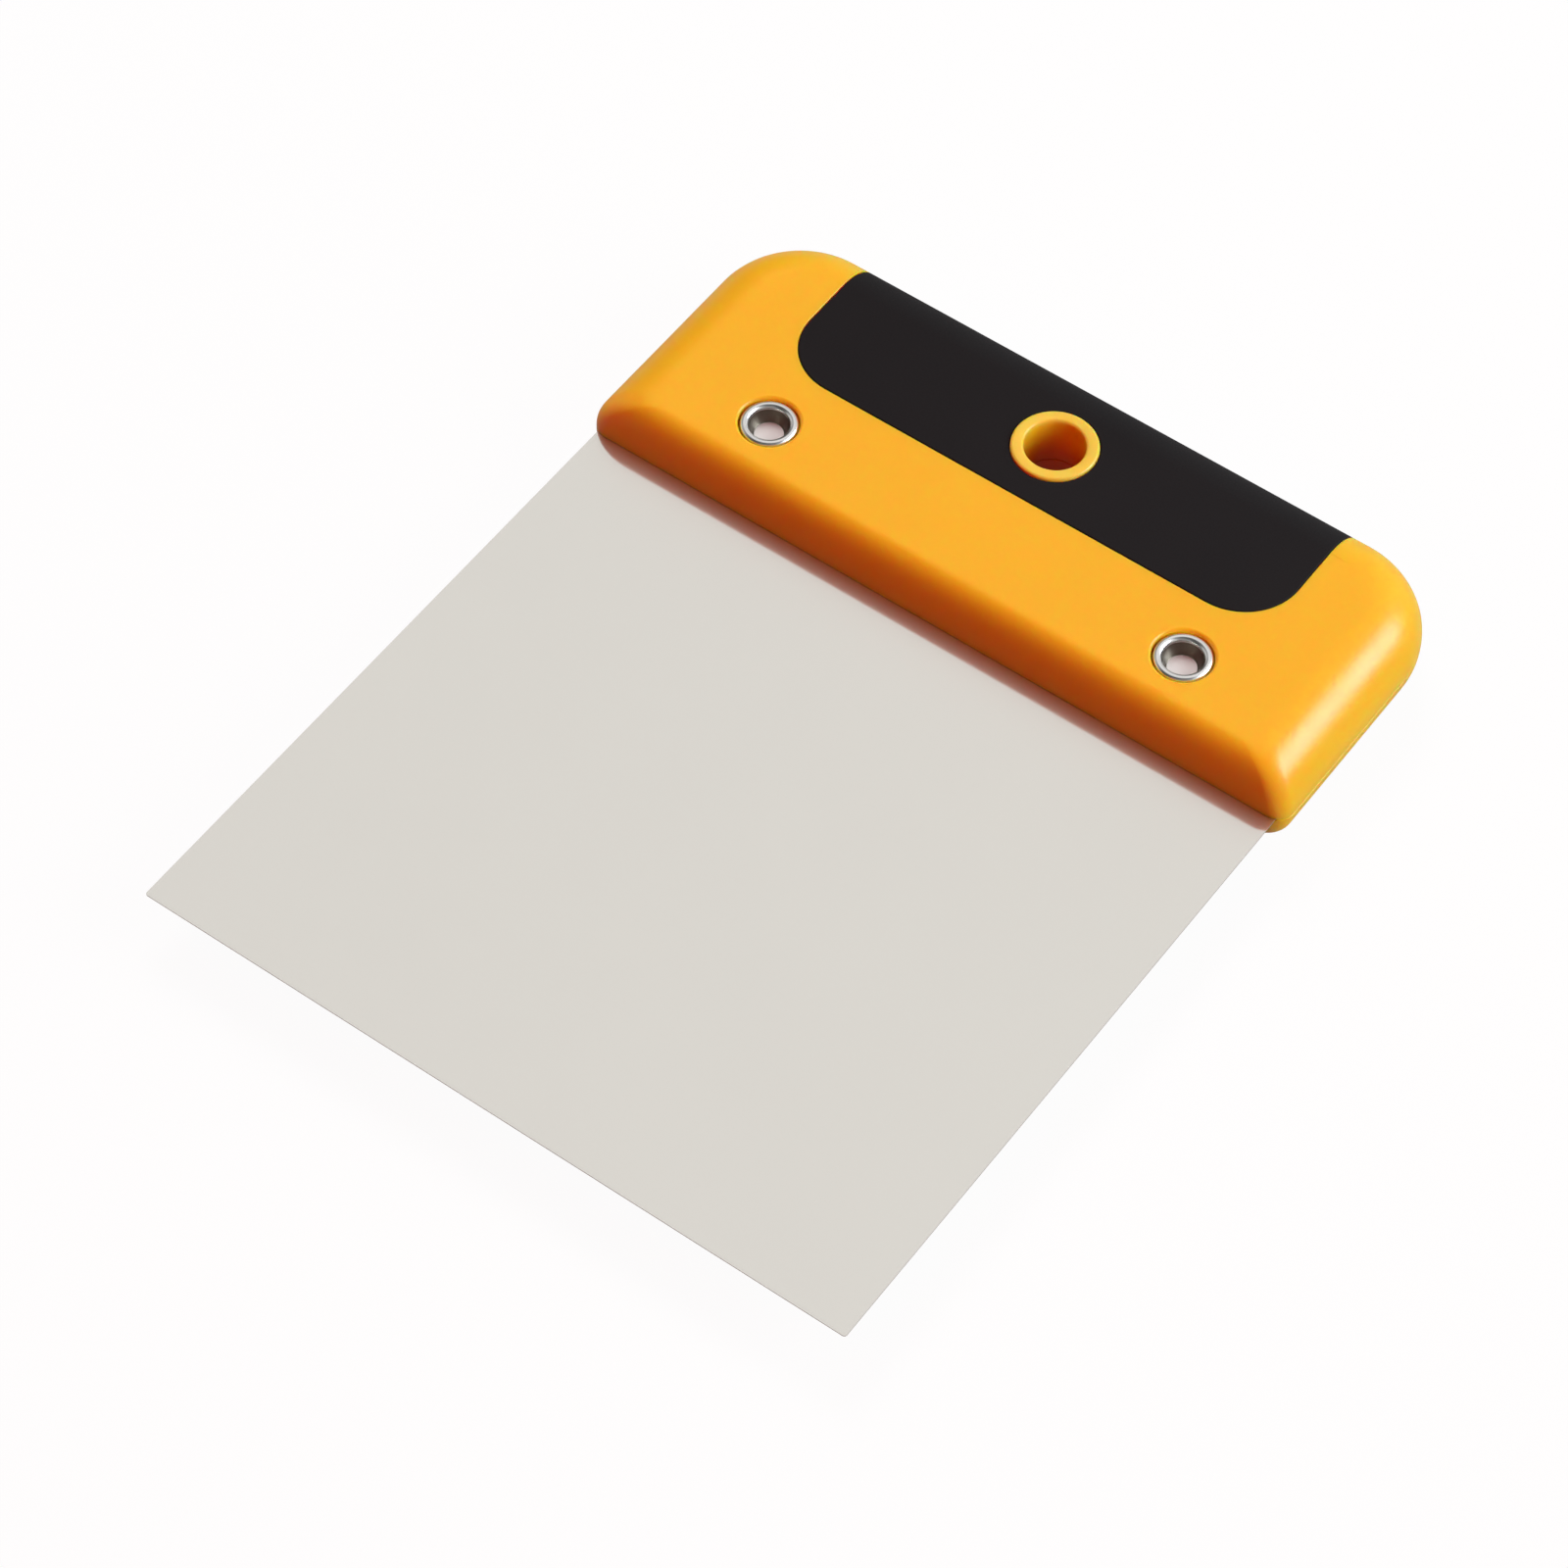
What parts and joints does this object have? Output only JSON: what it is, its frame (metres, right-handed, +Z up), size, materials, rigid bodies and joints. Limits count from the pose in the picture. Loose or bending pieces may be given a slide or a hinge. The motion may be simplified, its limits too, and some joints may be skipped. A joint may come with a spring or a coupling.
{
  "type": "putty knife",
  "caption": "Wide flat sheet-steel putty knife with a riveted two-shell plastic handle, soft grip pads and a hanging hole.",
  "frame": {"origin": "centre of the bounding box in plan, level with the flat underside of the handle", "axes": "+X across the blade to the right, +Y from the tip edge to the handle's back, +Z up, square to the blade"},
  "size_m": [0.128, 0.1586, 0.018],
  "materials": {
    "blade_steel": "cold-rolled stainless sheet, semi-bright",
    "shell_plastic": "satin moulded orange plastic",
    "grip_rubber": "matt black thermoplastic rubber",
    "rivet_metal": "bright nickel-plated steel"
  },
  "bodies": {
    "root": {"blade": "blade_steel", "upper_shell": "shell_plastic", "lower_shell": "shell_plastic", "upper_grip": "grip_rubber", "lower_grip": "grip_rubber", "left_rivet": "rivet_metal", "right_rivet": "rivet_metal"}
  },
  "joints": []
}
